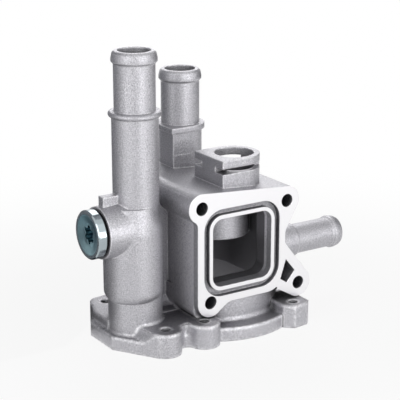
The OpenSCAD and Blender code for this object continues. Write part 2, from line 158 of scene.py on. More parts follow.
@dataclass(frozen=True)
class CastAluminium:
    """Die-cast aluminium, shot-blasted, with milled joint faces.

    The blasted skin is a matt, slightly cool grey with a fine sparkling grain,
    brighter along edges, where metal rubbed bare and painted highlight are mixed,
    and darkened by painted shade in corners and cracks. The two joint faces are
    milled bright. The box's left wall has painted light on it, and the base's
    up-facing faces and the walls of the chamber and port have painted shade,
    all matched to the photograph.
    """

    name: str = "Die-cast aluminium, shot-blasted, milled joints"
    skin: str = "#B5B4B9"
    skin_light: str = "#E3E2E6"
    skin_dark: str = "#7F7E84"
    # Bright edge colour: metal rubbed bare and painted highlight, on convex and concave edges.
    edge: str = "#F7F6F9"
    # Painted shade for corners and hollows, and for the base's up-facing faces.
    corner_shade: str = "#514F55"
    # Painted shade, near-black, deep in cracks and holes.
    crack_shade: str = "#1B1C1E"
    # Painted shade on the walls of the chamber and the port.
    inside_shade: str = "#7B7A7E"
    milled: str = "#F2F1F3"
    skin_metallic: float = 0.76
    skin_roughness: float = 0.46
    rough_swing: float = 0.12
    milled_roughness: float = 0.3
    bump: float = 0.6
    bump_mm: float = 0.1
    grain: Noise = Noise(0.275, 2.0, 0.6)
    grain_range: Ramp = Ramp(0.3, 0.7)
    mottle: Noise = Noise(7.0, 2.0)
    mottle_range: Ramp = Ramp(0.3, 0.7, 0.35, 0.65)
    edge_mm: float = 1.1
    base_edge_mm: float = 3.0
    base_fade_mm: float = 2.0
    crisp_mm: float = 0.2
    edge_samples: int = 6
    edge_range: Ramp = Ramp(0.994, 0.92)
    edge_patches: Noise = Noise(1.1, 3.0, 0.7)
    edge_patch_range: Ramp = Ramp(0.35, 0.62, 0.2, 1.0)
    # Painted shade: how sky openness, near and wide, darkens corners, hollows and cracks.
    corner_mm: float = 7.0
    corner_range: Ramp = Ramp(0.15, 0.65, 0.65, 0.0)
    crack_range: Ramp = Ramp(0.12, 0.42, 1.0, 0.0)
    hollow_mm: float = 30.0
    hollow_range: Ramp = Ramp(0.08, 0.38, 0.8, 0.0)
    ledge_z_mm: float = 14.0
    # Painted shade on the base's up-facing faces, darker where sheltered and towards the tall tube.
    ledge_shade_up: Ramp = Ramp(0.75, 0.95)
    ledge_shade_x: Ramp = Ramp(-15.0 * MM, 15.0 * MM, 1.0, 0.5)
    ledge_shade_range: Ramp = Ramp(0.35, 0.65, 0.95, 0.35)
    # Painted light on the box's left wall: faces towards -X within these bounds are lightened by
    # this gain.
    left_wall_light_x_mm: float = -34.0
    left_wall_light_y_mm: float = -30.0
    left_wall_light_z_mm: float = 76.0
    left_wall_light_side: Ramp = Ramp(-0.6, -0.95)
    left_wall_light_gain: float = 1.9
    # Where the painted shade of the chamber and the port lies; the ceiling boss, which light falls
    # on, is left out.
    chamber_mid_mm: Point = (-5.0, 0.0, 33.5)
    chamber_half_mm: Point = (21.5, 28.0, 33.6)
    boss_at_mm: Point = (2.0, -1.0, 0.0)
    boss_r_mm: float = 16.5
    boss_z_mm: float = 44.1
    port_r_mm: float = 25.2
    port_z_mm: float = 22.5
    cover_y_mm: float = -34.0
    plane_mm: float = 0.05
    cover_facing: float = -0.95

    def build(self) -> bpy.types.Material:
        """Builds the node tree.

        Returns:
            The finished material.
        """
        mat = blank_material(self.name)
        tree = mat.node_tree
        coords = add_node(tree, "ShaderNodeTexCoord").outputs["Object"]
        speckle = self._speckle(tree, coords)
        mask = self._milled_mask(tree, coords)
        rounded, edge = self._edges(tree, coords, mask)
        outer = self._skin_colour(tree, coords, speckle, edge)
        # Painted shade: the walls of the chamber and the port take a darker colour.
        skin = add_node(
            tree,
            "ShaderNodeMix",
            {"data_type": "RGBA"},
            {"Factor": self._inside_shade_mask(tree, coords), 6: outer, 7: linear(self.inside_shade)},
        ).outputs[2]
        colour = add_node(
            tree,
            "ShaderNodeMix",
            {"data_type": "RGBA"},
            {"Factor": mask, 6: skin, 7: linear(self.milled)},
        ).outputs[2]
        metallic = add_node(
            tree,
            "ShaderNodeMapRange",
            {},
            {"Value": mask, "To Min": self.skin_metallic, "To Max": 1.0},
        ).outputs[0]
        skin_rough = add_node(
            tree,
            "ShaderNodeMapRange",
            {},
            {
                "Value": speckle,
                "To Min": self.skin_roughness + self.rough_swing,
                "To Max": self.skin_roughness - self.rough_swing,
            },
        ).outputs[0]
        rough = add_node(
            tree,
            "ShaderNodeMix",
            {"data_type": "FLOAT"},
            {"Factor": mask, 2: skin_rough, 3: self.milled_roughness},
        ).outputs[0]
        unmilled = add_node(
            tree, "ShaderNodeMath", {"operation": "SUBTRACT"}, {0: 1.0, 1: mask}
        ).outputs[0]
        height = add_node(
            tree, "ShaderNodeMath", {"operation": "MULTIPLY"}, {0: speckle, 1: unmilled}
        ).outputs[0]
        bump = add_node(
            tree,
            "ShaderNodeBump",
            {},
            {
                "Strength": self.bump,
                "Distance": self.bump_mm * MM,
                "Height": height,
                "Normal": rounded,
            },
        ).outputs[0]
        shader = add_node(
            tree,
            "ShaderNodeBsdfPrincipled",
            {},
            {"Base Color": colour, "Metallic": metallic, "Roughness": rough, "Normal": bump},
        )
        add_node(tree, "ShaderNodeOutputMaterial", {}, {"Surface": shader.outputs[0]})
        return mat

    def _speckle(self, tree: Tree, coords: Socket) -> Socket:
        """Blasted grain from 0 to 1, drawn coarser than the real 0.2 mm so that it shows.

        Args:
            tree: The material's tree.
            coords: Object coordinates.

        Returns:
            The grain value.
        """
        fine = add_node(
            tree, "ShaderNodeTexNoise", {}, {"Vector": coords, **self.grain.sockets()}
        ).outputs[0]
        return add_node(
            tree, "ShaderNodeMapRange", {}, {"Value": fine, **self.grain_range.sockets()}
        ).outputs[0]

    def _edges(self, tree: Tree, coords: Socket, milled: Socket) -> tuple[Socket, Socket]:
        """Cast edges rounded in shading, more on the base, with the milled ones left crisp.

        Args:
            tree: The material's tree.
            coords: Object coordinates.
            milled: 1 on milled faces.

        Returns:
            The rounded normal, and a mask that is 1 along edges.
        """
        height = add_node(tree, "ShaderNodeSeparateXYZ", {}, {0: coords}).outputs[2]
        softness = Ramp(
            self.ledge_z_mm * MM,
            (self.ledge_z_mm + self.base_fade_mm) * MM,
            self.base_edge_mm * MM,
            self.edge_mm * MM,
        )
        cast = add_node(
            tree, "ShaderNodeMapRange", {}, {"Value": height, **softness.sockets()}
        ).outputs[0]
        radius = add_node(
            tree,
            "ShaderNodeMix",
            {"data_type": "FLOAT"},
            {"Factor": milled, 2: cast, 3: self.crisp_mm * MM},
        ).outputs[0]
        rounded = add_node(
            tree, "ShaderNodeBevel", {"samples": self.edge_samples}, {"Radius": radius}
        ).outputs[0]
        flat = add_node(tree, "ShaderNodeNewGeometry").outputs["Normal"]
        agree = add_node(
            tree, "ShaderNodeVectorMath", {"operation": "DOT_PRODUCT"}, {0: rounded, 1: flat}
        ).outputs["Value"]
        mask = add_node(
            tree, "ShaderNodeMapRange", {}, {"Value": agree, **self.edge_range.sockets()}
        ).outputs[0]
        return rounded, mask

    def _skin_colour(self, tree: Tree, coords: Socket, speckle: Socket, edge: Socket) -> Socket:
        """Colour of the blasted skin with grain and mottling, bright edges of wear and painted
        highlight, and painted shade in corners, cracks and on the base's up-facing faces.

        Args:
            tree: The material's tree.
            coords: Object coordinates.
            speckle: The grain value.
            edge: The edge mask.

        Returns:
            The colour socket.
        """
        wear_and_highlight = self._wear_and_highlight(tree, coords, edge)
        # Wear and painted highlight: edges and fillets take the bright edge colour in patches.
        edged = add_node(
            tree,
            "ShaderNodeMix",
            {"data_type": "RGBA"},
            {"Factor": wear_and_highlight, 6: self._blasted(tree, coords, speckle), 7: linear(self.edge)},
        ).outputs[2]
        # Painted shade: corners, hollows and cracks are darkened where little sky is open.
        near_sky, wide_sky = (
            add_node(
                tree,
                "ShaderNodeAmbientOcclusion",
                {"samples": SKY_SAMPLES, "only_local": True},
                {"Distance": reach_mm * MM},
            ).outputs["AO"]
            for reach_mm in (self.corner_mm, self.hollow_mm)
        )
        near, far, crack = (
            add_node(tree, "ShaderNodeMapRange", {}, {"Value": sky, **ramp.sockets()}).outputs[0]
            for sky, ramp in (
                (near_sky, self.corner_range),
                (wide_sky, self.hollow_range),
                (near_sky, self.crack_range),
            )
        )
        corners = add_node(
            tree, "ShaderNodeMath", {"operation": "MAXIMUM"}, {0: near, 1: far}
        ).outputs[0]
        no_wear_or_highlight = add_node(
            tree, "ShaderNodeMath", {"operation": "SUBTRACT"}, {0: 1.0, 1: wear_and_highlight}
        ).outputs[0]
        # Painted shade on the base's up-facing faces, kept off the bright edges.
        ledge_shade = add_node(
            tree,
            "ShaderNodeMath",
            {"operation": "MULTIPLY"},
            {0: self._ledge_shade(tree, coords, wide_sky), 1: no_wear_or_highlight},
        ).outputs[0]
        corner_and_ledge_shade = add_node(
            tree, "ShaderNodeMath", {"operation": "MAXIMUM"}, {0: corners, 1: ledge_shade}
        ).outputs[0]
        shaded = add_node(
            tree,
            "ShaderNodeMix",
            {"data_type": "RGBA"},
            {"Factor": corner_and_ledge_shade, 6: edged, 7: linear(self.corner_shade)},
        ).outputs[2]
        return add_node(
            tree,
            "ShaderNodeMix",
            {"data_type": "RGBA"},
            {"Factor": crack, 6: shaded, 7: linear(self.crack_shade)},
        ).outputs[2]

    def _blasted(self, tree: Tree, coords: Socket, speckle: Socket) -> Socket:
        """Colour of the open skin, from its grain and a broad mottle, with painted light on the
        box's left wall.

        Args:
            tree: The material's tree.
            coords: Object coordinates.
            speckle: The grain value.

        Returns:
            The colour socket.
        """
        grain = add_node(
            tree,
            "ShaderNodeMix",
            {"data_type": "RGBA"},
            {"Factor": speckle, 6: linear(self.skin_dark), 7: linear(self.skin_light)},
        ).outputs[2]
        mottle = add_node(
            tree, "ShaderNodeTexNoise", {}, {"Vector": coords, **self.mottle.sockets()}
        ).outputs[0]
        share = add_node(
            tree, "ShaderNodeMapRange", {}, {"Value": mottle, **self.mottle_range.sockets()}
        ).outputs[0]
        mixed = add_node(
            tree,
            "ShaderNodeMix",
            {"data_type": "RGBA"},
            {"Factor": share, 6: grain, 7: linear(self.skin)},
        ).outputs[2]
        # Painted light: the box's left wall is lightened, capped at the edge colour.
        lifted = add_node(
            tree,
            "ShaderNodeVectorMath",
            {"operation": "SCALE"},
            {0: mixed, "Scale": self._left_wall_light(tree, coords)},
        ).outputs[0]
        return add_node(
            tree,
            "ShaderNodeVectorMath",
            {"operation": "MINIMUM"},
            {0: lifted, 1: linear(self.edge)[:3]},
        ).outputs[0]

    def _wear_and_highlight(self, tree: Tree, coords: Socket, edge: Socket) -> Socket:
        """Share of the bright edge colour along edges, in patches: metal rubbed bare, and painted
        highlight on rounded and concave edges alike.

        Args:
            tree: The material's tree.
            coords: Object coordinates.
            edge: The edge mask.

        Returns:
            The share, from 0 to 1.
        """
        edge_patches = add_node(
            tree, "ShaderNodeTexNoise", {}, {"Vector": coords, **self.edge_patches.sockets()}
        ).outputs[0]
        patchy = add_node(
            tree, "ShaderNodeMapRange", {}, {"Value": edge_patches, **self.edge_patch_range.sockets()}
        ).outputs[0]
        return add_node(
            tree, "ShaderNodeMath", {"operation": "MULTIPLY"}, {0: edge, 1: patchy}
        ).outputs[0]

    def _left_wall_light(self, tree: Tree, coords: Socket) -> Socket:
        """How much painted light lightens the skin on the box's left wall.

        Args:
            tree: The material's tree.
            coords: Object coordinates.

        Returns:
            The factor, 1 elsewhere.
        """
        normal = add_node(tree, "ShaderNodeNewGeometry").outputs["Normal"]
        side = add_node(tree, "ShaderNodeSeparateXYZ", {}, {0: normal}).outputs[0]
        share = add_node(
            tree, "ShaderNodeMapRange", {}, {"Value": side, **self.left_wall_light_side.sockets()}
        ).outputs[0]
        xyz = add_node(tree, "ShaderNodeSeparateXYZ", {}, {0: coords}).outputs
        for axis, side_of, limit_mm in (
            (0, "GREATER_THAN", self.left_wall_light_x_mm),
            (1, "GREATER_THAN", self.left_wall_light_y_mm),
            (2, "LESS_THAN", self.left_wall_light_z_mm),
        ):
            within = add_node(
                tree, "ShaderNodeMath", {"operation": side_of}, {0: xyz[axis], 1: limit_mm * MM}
            ).outputs[0]
            share = add_node(
                tree, "ShaderNodeMath", {"operation": "MULTIPLY"}, {0: share, 1: within}
            ).outputs[0]
        return add_node(
            tree,
            "ShaderNodeMapRange",
            {},
            {"Value": share, "To Min": 1.0, "To Max": self.left_wall_light_gain},
        ).outputs[0]

    def _ledge_shade(self, tree: Tree, coords: Socket, sky: Socket) -> Socket:
        """Painted shade on the base's up-facing faces, darker where they are sheltered and towards
        the tall tube.

        Args:
            tree: The material's tree.
            coords: Object coordinates.
            sky: How open each point is, from 0 to 1.

        Returns:
            The share of painted shade, from 0 to 1.
        """
        normal = add_node(tree, "ShaderNodeNewGeometry").outputs["Normal"]
        up = add_node(tree, "ShaderNodeSeparateXYZ", {}, {0: normal}).outputs[2]
        xyz = add_node(tree, "ShaderNodeSeparateXYZ", {}, {0: coords}).outputs
        share = add_node(
            tree, "ShaderNodeMath", {"operation": "LESS_THAN"}, {0: xyz[2], 1: self.ledge_z_mm * MM}
        ).outputs[0]
        for value, ramp in ((up, self.ledge_shade_up), (xyz[0], self.ledge_shade_x), (sky, self.ledge_shade_range)):
            part = add_node(
                tree, "ShaderNodeMapRange", {}, {"Value": value, **ramp.sockets()}
            ).outputs[0]
            share = add_node(
                tree, "ShaderNodeMath", {"operation": "MULTIPLY"}, {0: share, 1: part}
            ).outputs[0]
        return share

    def _inside_shade_mask(self, tree: Tree, coords: Socket) -> Socket:
        """Mask of the chamber and the port, whose walls get a darker colour as painted shade.

        Args:
            tree: The material's tree.
            coords: Object coordinates.

        Returns:
            1 on the walls of the chamber and the port, less the ceiling boss, else 0.
        """
        middle = tuple(Vector(self.chamber_mid_mm) * MM)
        half = tuple(Vector(self.chamber_half_mm) * MM)
        off = add_node(
            tree, "ShaderNodeVectorMath", {"operation": "SUBTRACT"}, {0: coords, 1: middle}
        ).outputs[0]
        share = add_node(
            tree, "ShaderNodeVectorMath", {"operation": "DIVIDE"}, {0: off, 1: half}
        ).outputs[0]
        size = add_node(
            tree, "ShaderNodeVectorMath", {"operation": "ABSOLUTE"}, {0: share}
        ).outputs[0]
        parts = add_node(tree, "ShaderNodeSeparateXYZ", {}, {0: size}).outputs
        wide = add_node(
            tree, "ShaderNodeMath", {"operation": "MAXIMUM"}, {0: parts[0], 1: parts[1]}
        ).outputs[0]
        reach = add_node(
            tree, "ShaderNodeMath", {"operation": "MAXIMUM"}, {0: wide, 1: parts[2]}
        ).outputs[0]
        within = add_node(
            tree, "ShaderNodeMath", {"operation": "LESS_THAN"}, {0: reach, 1: 1.0}
        ).outputs[0]
        xyz = add_node(tree, "ShaderNodeSeparateXYZ", {}, {0: coords}).outputs
        plan = add_node(tree, "ShaderNodeCombineXYZ", {}, {0: xyz[0], 1: xyz[1]}).outputs[0]
        from_boss = add_node(
            tree,
            "ShaderNodeVectorMath",
            {"operation": "DISTANCE"},
            {0: plan, 1: tuple(Vector(self.boss_at_mm) * MM)},
        ).outputs["Value"]
        off_boss = add_node(
            tree,
            "ShaderNodeMath",
            {"operation": "GREATER_THAN"},
            {0: from_boss, 1: self.boss_r_mm * MM},
        ).outputs[0]
        below = add_node(
            tree, "ShaderNodeMath", {"operation": "LESS_THAN"}, {0: xyz[2], 1: self.boss_z_mm * MM}
        ).outputs[0]
        clear = add_node(
            tree, "ShaderNodeMath", {"operation": "MAXIMUM"}, {0: off_boss, 1: below}
        ).outputs[0]
        chamber = add_node(
            tree, "ShaderNodeMath", {"operation": "MULTIPLY"}, {0: within, 1: clear}
        ).outputs[0]
        from_axis = add_node(
            tree, "ShaderNodeVectorMath", {"operation": "LENGTH"}, {0: plan}
        ).outputs["Value"]
        in_bore = add_node(
            tree,
            "ShaderNodeMath",
            {"operation": "LESS_THAN"},
            {0: from_axis, 1: self.port_r_mm * MM},
        ).outputs[0]
        low = add_node(
            tree, "ShaderNodeMath", {"operation": "LESS_THAN"}, {0: xyz[2], 1: self.port_z_mm * MM}
        ).outputs[0]
        port = add_node(
            tree, "ShaderNodeMath", {"operation": "MULTIPLY"}, {0: in_bore, 1: low}
        ).outputs[0]
        return add_node(
            tree, "ShaderNodeMath", {"operation": "MAXIMUM"}, {0: chamber, 1: port}
        ).outputs[0]

    def _milled_mask(self, tree: Tree, coords: Socket) -> Socket:
        """Mask of the two milled joint faces, by their planes.

        Args:
            tree: The material's tree.
            coords: Object coordinates.

        Returns:
            1 on the cover face and on the mounting face, else 0.
        """
        xyz = add_node(tree, "ShaderNodeSeparateXYZ", {}, {0: coords}).outputs
        normal = add_node(tree, "ShaderNodeNewGeometry").outputs["True Normal"]
        ahead = add_node(tree, "ShaderNodeSeparateXYZ", {}, {0: normal}).outputs[1]
        on_plane = add_node(
            tree,
            "ShaderNodeMath",
            {"operation": "COMPARE"},
            {0: xyz[1], 1: self.cover_y_mm * MM, 2: self.plane_mm * MM},
        ).outputs[0]
        faces_front = add_node(
            tree, "ShaderNodeMath", {"operation": "LESS_THAN"}, {0: ahead, 1: self.cover_facing}
        ).outputs[0]
        on_cover = add_node(
            tree, "ShaderNodeMath", {"operation": "MULTIPLY"}, {0: on_plane, 1: faces_front}
        ).outputs[0]
        on_base = add_node(
            tree, "ShaderNodeMath", {"operation": "LESS_THAN"}, {0: xyz[2], 1: self.plane_mm * MM}
        ).outputs[0]
        return add_node(
            tree, "ShaderNodeMath", {"operation": "MAXIMUM"}, {0: on_cover, 1: on_base}
        ).outputs[0]


@dataclass(frozen=True)
class PlatedSteel:
    """Turned steel, zinc plated and blue passivated.

    A bright silver flank, and a thin blue film on the dished face, whose turning
    marks draw the light out into fans. The film carries painted shade that darkens it
    towards the top, and painted shade makes the socket dark.
    """

    name: str = "Turned steel, zinc plated, blue passivated"
    silver: str = "#A9B3B7"
    film: str = "#A0BEC4"
    # Painted shade: the film goes to this darker colour in random clouds and more so towards the
    # top.
    dark_film_and_shade: str = "#5F8795"
    # Painted shade: the colour put in the socket and other recesses of the plug.
    socket: str = "#2A4658"
    axis_mm: Point = (0.0, -12.0, 59.4)
    face_r_mm: float = 10.6
    rim_mm: float = 1.0
    cloud: Noise = Noise(9.0, 2.0)
    # Painted shade: how the film darkens towards the top of the face.
    top_shade_from_mm: float = -8.0
    top_shade_to_mm: float = 9.0
    top_shade_least: float = 0.25
    socket_mm: float = 4.0
    socket_range: Ramp = Ramp(0.35, 0.7, 1.0, 0.0)
    face_roughness: float = 0.4
    rough_swing: float = 0.08
    flank_roughness: float = 0.12
    turning: float = 0.75
    turning_marks: Noise = Noise(0.125, 1.0)
    edge_mm: float = 0.3
    edge_samples: int = 4
    bump: float = 0.15
    bump_mm: float = 0.02

    def build(self) -> bpy.types.Material:
        """Builds the node tree.

        Returns:
            The finished material.
        """
        mat = blank_material(self.name)
        tree = mat.node_tree
        coords = add_node(tree, "ShaderNodeTexCoord").outputs["Object"]
        xyz = add_node(tree, "ShaderNodeSeparateXYZ", {}, {0: coords}).outputs
        flat = add_node(tree, "ShaderNodeCombineXYZ", {}, {1: xyz[1], 2: xyz[2]}).outputs[0]
        centre = tuple(Vector(self.axis_mm) * MM)
        radius = add_node(
            tree, "ShaderNodeVectorMath", {"operation": "DISTANCE"}, {0: flat, 1: centre}
        ).outputs["Value"]
        rim = add_node(
            tree,
            "ShaderNodeMapRange",
            {},
            {
                "Value": radius,
                "From Min": (self.face_r_mm - self.rim_mm) * MM,
                "From Max": self.face_r_mm * MM,
            },
        ).outputs[0]
        lathe = add_node(
            tree,
            "ShaderNodeTexNoise",
            {"noise_dimensions": "1D"},
            {"W": radius, **self.turning_marks.sockets()},
        ).outputs[0]
        face_rough = add_node(
            tree,
            "ShaderNodeMapRange",
            {},
            {
                "Value": lathe,
                "To Min": self.face_roughness - self.rough_swing,
                "To Max": self.face_roughness + self.rough_swing,
            },
        ).outputs[0]
        rough = add_node(
            tree,
            "ShaderNodeMix",
            {"data_type": "FLOAT"},
            {"Factor": rim, 2: face_rough, 3: self.flank_roughness},
        ).outputs[0]
        fan = add_node(
            tree, "ShaderNodeMapRange", {}, {"Value": rim, "To Min": self.turning, "To Max": 0.0}
        ).outputs[0]
        spoke = add_node(
            tree, "ShaderNodeVectorMath", {"operation": "SUBTRACT"}, {0: flat, 1: centre}
        ).outputs[0]
        round_axis = add_node(
            tree,
            "ShaderNodeVectorMath",
            {"operation": "CROSS_PRODUCT"},
            {0: (1.0, 0.0, 0.0), 1: spoke},
        ).outputs[0]
        along = add_node(
            tree, "ShaderNodeVectorMath", {"operation": "NORMALIZE"}, {0: round_axis}
        ).outputs[0]
        rounded = add_node(
            tree, "ShaderNodeBevel", {"samples": self.edge_samples}, {"Radius": self.edge_mm * MM}
        ).outputs[0]
        bump = add_node(
            tree,
            "ShaderNodeBump",
            {},
            {
                "Strength": self.bump,
                "Distance": self.bump_mm * MM,
                "Height": lathe,
                "Normal": rounded,
            },
        ).outputs[0]
        shader = add_node(
            tree,
            "ShaderNodeBsdfPrincipled",
            {},
            {
                "Base Color": self._colour(tree, coords, xyz[2], rim),
                "Metallic": 1.0,
                "Roughness": rough,
                "Normal": bump,
                "Anisotropic": fan,
                "Tangent": along,
            },
        )
        add_node(tree, "ShaderNodeOutputMaterial", {}, {"Surface": shader.outputs[0]})
        return mat

    def _colour(self, tree: Tree, coords: Socket, height: Socket, rim: Socket) -> Socket:
        """Colour of the plating: a clouded film with painted shade towards the top, a silver flank
        and painted shade in the socket.

        Args:
            tree: The material's tree.
            coords: Object coordinates.
            height: Their z part.
            rim: 0 on the face, 1 on the flank.

        Returns:
            The colour socket.
        """
        cloud = add_node(
            tree, "ShaderNodeTexNoise", {}, {"Vector": coords, **self.cloud.sockets()}
        ).outputs[0]
        # Painted shade: the film is darker towards the top of the face.
        top_shade_ramp = Ramp(
            (self.axis_mm[2] + self.top_shade_from_mm) * MM,
            (self.axis_mm[2] + self.top_shade_to_mm) * MM,
            self.top_shade_least,
            1.0,
        )
        top_shade = add_node(
            tree, "ShaderNodeMapRange", {}, {"Value": height, **top_shade_ramp.sockets()}
        ).outputs[0]
        film_tone_and_shade = add_node(
            tree, "ShaderNodeMath", {"operation": "MULTIPLY"}, {0: top_shade, 1: cloud}
        ).outputs[0]
        film = add_node(
            tree,
            "ShaderNodeMix",
            {"data_type": "RGBA"},
            {"Factor": film_tone_and_shade, 6: linear(self.film), 7: linear(self.dark_film_and_shade)},
        ).outputs[2]
        plated = add_node(
            tree,
            "ShaderNodeMix",
            {"data_type": "RGBA"},
            {"Factor": rim, 6: film, 7: linear(self.silver)},
        ).outputs[2]
        # Painted shade: recesses such as the socket go dark where little sky is open.
        sky = add_node(
            tree,
            "ShaderNodeAmbientOcclusion",
            {"samples": SKY_SAMPLES},
            {"Distance": self.socket_mm * MM},
        ).outputs["AO"]
        socket_shade_share = add_node(
            tree, "ShaderNodeMapRange", {}, {"Value": sky, **self.socket_range.sockets()}
        ).outputs[0]
        return add_node(
            tree,
            "ShaderNodeMix",
            {"data_type": "RGBA"},
            {"Factor": socket_shade_share, 6: plated, 7: linear(self.socket)},
        ).outputs[2]


@dataclass(frozen=True)
class SealRubber:
    """Moulded rubber: a black, faintly dusty skin with almost no sheen."""

    name: str = "EPDM rubber, moulded"
    black: str = "#0C0C0D"
    dust: str = "#1A1A1C"
    bloom: Noise = Noise(1.5, 4.0)
    rough: Ramp = Ramp(0.0, 1.0, 0.6, 0.85)
    bump: float = 0.1
    bump_mm: float = 0.05
    ior: float = 1.52
    specular: float = 0.1

    def build(self) -> bpy.types.Material:
        """Builds the node tree.

        Returns:
            The finished material.
        """
        mat = blank_material(self.name)
        tree = mat.node_tree
        coords = add_node(tree, "ShaderNodeTexCoord").outputs["Object"]
        bloom = add_node(
            tree, "ShaderNodeTexNoise", {}, {"Vector": coords, **self.bloom.sockets()}
        ).outputs[0]
        colour = add_node(
            tree,
            "ShaderNodeMix",
            {"data_type": "RGBA"},
            {"Factor": bloom, 6: linear(self.black), 7: linear(self.dust)},
        ).outputs[2]
        rough = add_node(
            tree, "ShaderNodeMapRange", {}, {"Value": bloom, **self.rough.sockets()}
        ).outputs[0]
        bump = add_node(
            tree,
            "ShaderNodeBump",
            {},
            {"Strength": self.bump, "Distance": self.bump_mm * MM, "Height": bloom},
        ).outputs[0]
        shader = add_node(
            tree,
            "ShaderNodeBsdfPrincipled",
            {},
            {
                "Base Color": colour,
                "Roughness": rough,
                "Normal": bump,
                "IOR": self.ior,
                "Specular IOR Level": self.specular,
            },
        )
        add_node(tree, "ShaderNodeOutputMaterial", {}, {"Surface": shader.outputs[0]})
        return mat


@dataclass(frozen=True)
class CutThread:
    """Tapped aluminium: cut metal in lighter and darker patches, darkened overall by painted shade
    for the unlit holes it lines.
    """

    name: str = "Aluminium, tapped thread"
    # Painted shade: both colours are dark for the unlit holes that the threads line.
    bare: str = "#77797E"
    dark_patch: str = "#090A0B"
    rough: Ramp = Ramp(0.0, 1.0, 0.2, 0.5)
    patches: Noise = Noise(1.2, 2.0)

    def build(self) -> bpy.types.Material:
        """Builds the node tree.

        Returns:
            The finished material.
        """
        mat = blank_material(self.name)
        tree = mat.node_tree
        coords = add_node(tree, "ShaderNodeTexCoord").outputs["Object"]
        lighter_share = add_node(
            tree, "ShaderNodeTexNoise", {}, {"Vector": coords, **self.patches.sockets()}
        ).outputs[0]
        colour = add_node(
            tree,
            "ShaderNodeMix",
            {"data_type": "RGBA"},
            {"Factor": lighter_share, 6: linear(self.dark_patch), 7: linear(self.bare)},
        ).outputs[2]
        rough = add_node(
            tree, "ShaderNodeMapRange", {}, {"Value": lighter_share, **self.rough.sockets()}
        ).outputs[0]
        shader = add_node(
            tree,
            "ShaderNodeBsdfPrincipled",
            {},
            {"Base Color": colour, "Metallic": 1.0, "Roughness": rough},
        )
        add_node(tree, "ShaderNodeOutputMaterial", {}, {"Surface": shader.outputs[0]})
        return mat


def thread_tree() -> Tree:
    """Node tree that winds one thread ridge up every point of its mesh.

    Returns:
        The tree, with inputs for the core radius, pitch, turns, ridge, turn and finish.
    """
    tree = bpy.data.node_groups.new("cut_thread", "GeometryNodeTree")
    face = tree.interface
    face.new_socket("Geometry", in_out="INPUT", socket_type="NodeSocketGeometry")
    for name in ("Core radius", "Pitch", "Turns", "Ridge"):
        face.new_socket(name, in_out="INPUT", socket_type="NodeSocketFloat")
    face.new_socket("Turn", in_out="INPUT", socket_type="NodeSocketVector")
    face.new_socket("Finish", in_out="INPUT", socket_type="NodeSocketMaterial")
    face.new_socket("Geometry", in_out="OUTPUT", socket_type="NodeSocketGeometry")
    given = add_node(tree, "NodeGroupInput").outputs
    height = add_node(
        tree, "ShaderNodeMath", {"operation": "MULTIPLY"}, {0: given["Pitch"], 1: given["Turns"]}
    ).outputs[0]
    helix = add_node(
        tree,
        "GeometryNodeCurveSpiral",
        {},
        {
            "Resolution": THREAD_STEPS,
            "Rotations": given["Turns"],
            "Start Radius": given["Core radius"],
            "End Radius": given["Core radius"],
            "Height": height,
        },
    ).outputs[0]
    upright = add_node(
        tree, "GeometryNodeSetCurveNormal", {"mode": "Z_UP"}, {"Curve": helix}
    ).outputs[0]
    profile = add_node(
        tree,
        "GeometryNodeCurvePrimitiveCircle",
        {},
        {"Resolution": RIDGE_SIDES, "Radius": given["Ridge"]},
    ).outputs[0]
    ridge = add_node(
        tree,
        "GeometryNodeCurveToMesh",
        {},
        {"Curve": upright, "Profile Curve": profile, "Fill Caps": True},
    ).outputs[0]
    each = add_node(
        tree,
        "GeometryNodeInstanceOnPoints",
        {},
        {"Points": given["Geometry"], "Instance": ridge, "Rotation": given["Turn"]},
    ).outputs[0]
    real = add_node(tree, "GeometryNodeRealizeInstances", {}, {"Geometry": each}).outputs[0]
    dressed = add_node(
        tree, "GeometryNodeSetMaterial", {}, {"Geometry": real, "Material": given["Finish"]}
    ).outputs[0]
    add_node(tree, "NodeGroupOutput", {}, {0: dressed})
    return tree


@dataclass(frozen=True)
class ThreadSize:
    """Core radius, pitch and number of turns of one thread."""

    core_r_mm: float
    pitch_mm: float
    turns: float


@dataclass
class TappedHoles:
    """The cut threads of one set of equal holes."""

    name: str
    feet_mm: Sequence[Point]
    size: ThreadSize
    axis: HoleAxis
    ridge_mm: float = 0.3
    sunk_mm: float = 0.1

    def build(self, tree: Tree, finish: bpy.types.Material) -> bpy.types.Object:
        """Winds the threads and fixes them to the casting.

        Args:
            tree: The thread tree.
            finish: The material of the cut metal.

        Returns:
            The finished piece.
        """
        mesh = bpy.data.meshes.new(self.name)
        mesh.from_pydata([tuple(Vector(p) * MM) for p in self.feet_mm], [], [])
        piece = bpy.data.objects.new(self.name, mesh)
        bpy.context.scene.collection.objects.link(piece)
        mod = piece.modifiers.new("thread", "NODES")
        mod.node_group = tree
        sizes = {
            "Core radius": (self.size.core_r_mm + self.sunk_mm) * MM,
            "Pitch": self.size.pitch_mm * MM,
            "Turns": self.size.turns,
            "Ridge": self.ridge_mm * MM,
            "Turn": self.axis.value,
            "Finish": finish,
        }
        for item in tree.interface.items_tree:
            if item.in_out == "INPUT" and item.name in sizes:
                mod[item.identifier] = sizes[item.name]
        shown = piece.evaluated_get(bpy.context.evaluated_depsgraph_get())
        wound = bpy.data.meshes.new_from_object(shown)
        piece.modifiers.clear()
        piece.data = wound
        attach(piece, "root")
        LOG.info("%s: %d faces", self.name, len(wound.polygons))
        return piece


